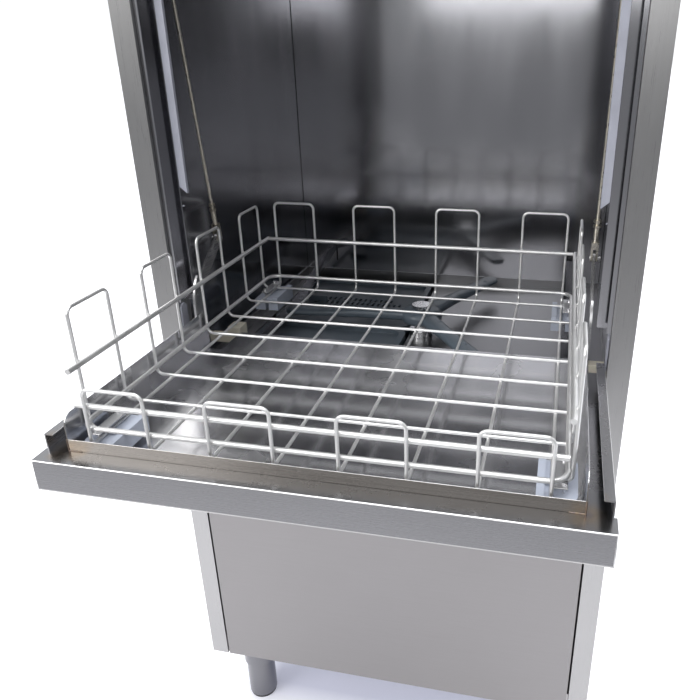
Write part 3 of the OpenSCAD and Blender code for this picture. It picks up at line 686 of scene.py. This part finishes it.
def make_wash_arm(node, hub, reach, phase, mat, upward):
    """Three moulded blades with a raised spine and jets, on a turned hub cap."""
    bm = bmesh.new()
    stations = [0, 0.1, 0.2, 0.35, 0.5, 0.56, 0.60, 0.75, 0.9, 0.96, 1.0]
    corners = 20
    start = 22 * MM
    for i in range(3):
        turn = Matrix.Translation(hub) @ Matrix.Rotation(math.radians(phase + 120 * i), 4, "Z")
        rings = []
        for t in stations:
            width, height = blade_section(t)
            step = 0.8 if t < 0.58 else 0.0
            ring = []
            for k in range(corners):
                a = math.tau * k / corners
                c, s = math.cos(a), math.sin(a)
                y = math.copysign(abs(c) ** 0.55, c) * width
                z = math.copysign(abs(s) ** 0.7, s) * (height + step)
                place = Vector((start + (reach - start) * t, y * MM, (z - 1) * MM))
                ring.append(bm.verts.new(turn @ place))
            rings.append(ring)
        for a, b in zip(rings, rings[1:]):
            for k in range(corners):
                bm.faces.new((a[k], a[(k + 1) % corners], b[(k + 1) % corners], b[k]))
        bm.faces.new(rings[0][::-1])
        bm.faces.new(rings[-1])
        for t, side in ((0.18, 5), (0.40, -5), (0.62, 4), (0.84, -4)):
            height = (blade_section(t)[1] - 1.3) * upward - 1
            place = turn @ Vector((start + (reach - start) * t, side * MM, height * MM))
            lathe(bm, [(0, 0.6 * MM), (1.6 * MM, 0.6 * MM), (2.2 * MM, 2.2 * MM), (3.8 * MM, 2.2 * MM),
                       (5.2 * MM, 0.4 * MM), (5.4 * MM, -1 * MM)], pointing(place, (0, 0, upward)), 18)
    cap = [(12.1 * MM, 12 * MM), (24 * MM, 12 * MM), (31 * MM, 10 * MM), (36 * MM, 5 * MM), (38 * MM, 0),
           (37 * MM, -8 * MM), (33 * MM, -12 * MM), (12.1 * MM, -12 * MM), (12.1 * MM, 12 * MM)]
    lathe(bm, cap, Matrix.Translation(hub), 48)
    arm = add_piece(f"{node}_moulding", bm, mat["blue_grey_plastic"], node_body[node])
    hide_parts(node)


def make_wash_arms(mat):
    """Both wash arms; the jets of the lower one point up and those of the upper one down."""
    phase = 65
    arms = (("lower_wash_arm", "lower_spindle", 1), ("upper_wash_arm", "upper_spindle", -1))
    for node, spindle, upward in arms:
        low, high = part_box(node)
        s_low, s_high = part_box(spindle)
        hub = Vector(((s_low.x + s_high.x) / 2, (s_low.y + s_high.y) / 2, (low.z + high.z) / 2))
        reach = max((v.co.xy - hub.xy).length for v in nodes[node].data.vertices) - 0.6 * MM
        make_wash_arm(node, hub, reach, phase, mat, upward)


def finish_trays(mat):
    """Filter trays with broken edges."""
    for node in ("filter_tray_front", "filter_tray_rear"):
        softened(node, mat["blue_grey_plastic"], 0.5 * MM, 2)


# ---------- Rack ----------
def make_weld_nuggets(mat):
    """A small melted spot at every crossing of the floor wires, and at each loop on the rail."""

    def spot(bm, place, size):
        """A flattened ball with its half axes in mm."""
        shape = Matrix.Translation(place) @ Matrix.Diagonal((*(side * MM for side in size), 1))
        bmesh.ops.create_icosphere(bm, subdivisions=2, radius=1, matrix=shape)

    c_low, c_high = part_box("rack_cross_hoops")
    l_low, l_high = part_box("rack_long_hoops")
    # Radii of the hoop wires and of the rail
    wire, rail = 2.1 * MM, 3.2 * MM
    rows = 8
    z = c_low.z + 0.1 * MM
    ys = [c_low.y + wire + (c_high.y - c_low.y - 2 * wire) * i / (rows - 1) for i in range(rows)]
    xs = [l_low.x + wire + (l_high.x - l_low.x - 2 * wire) * i / (rows - 1) for i in range(rows)]
    bm = bmesh.new()
    for y in ys:
        for x in xs:
            spot(bm, (x, y, z), (2.5, 2.5, 1.2))
    rail_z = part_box("rack_rails")[1].z - rail
    for y in ys:
        for x in (c_low.x + 2 * wire, c_high.x - 2 * wire):
            spot(bm, (x, y, rail_z), (1.4, 3.0, 3.6))
    for x in xs:
        spot(bm, (x, l_high.y - 2 * wire, rail_z), (3.0, 1.4, 3.6))
    add_piece("weld_nuggets", bm, mat["rack_wire"], "rack")


# ---------- Lower door ----------
def make_door_welds():
    """Ground weld beads where the pan meets the door's ledge, in the two front corners."""
    low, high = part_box("lower_door_pan")
    flange, rim_height, weld = 20 * MM, 14.6 * MM, 16 * MM
    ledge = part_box("lower_door_shell")[1].z - flange
    bead = Surface("weld_bead", (0.30, 0.24, 0.19), 0.38, metallic=1.0)
    ripple = bead.noise((300, 300, 700), detail=3.0)
    bead.vary_color(ripple, (0.20, 0.17, 0.20), (0.42, 0.33, 0.22))
    bead.relief(ripple, 0.0004, 0.8)
    bm = bmesh.new()
    for x in (low.x, high.x):
        points = [Vector((x, low.y + 0.2 * MM * math.sin(i * 2.1), ledge + rim_height * i / 12))
                  for i in range(13)]
        tube(bm, points, 0.9 * MM, 8)
        inward = math.copysign(weld, -x)
        across = [Vector((x + inward * i / 10, low.y - 0.1 * MM, ledge + 0.2 * MM)) for i in range(11)]
        tube(bm, across, 0.7 * MM, 8)
    add_piece("pan_corner_welds", bm, bead, "lower_door")


def dress_plain_nodes(mat):
    """Every node that keeps its CAD shape gets the finish of its slot."""
    for name, node in nodes.items():
        material = mat["deck_steel" if name == "tank" else node_slot[name]].material
        if not node.material_slots:
            node.data.materials.append(material)
        for slot in node.material_slots:
            slot.material = material


make_camera()
make_floor()
make_world()
make_lights()
bpy.context.scene.view_settings.view_transform = "Standard"

materials = make_materials()
dress_plain_nodes(materials)
finish_casing(materials)
make_rear_details(materials)
make_handle_caps(materials)
make_buttons(materials)
make_display_marks()
make_springs(materials)
make_chamber_corner_shade(materials)
make_wash_arms(materials)
finish_trays(materials)
make_weld_nuggets(materials)
make_door_welds()

bpy.context.view_layer.update()
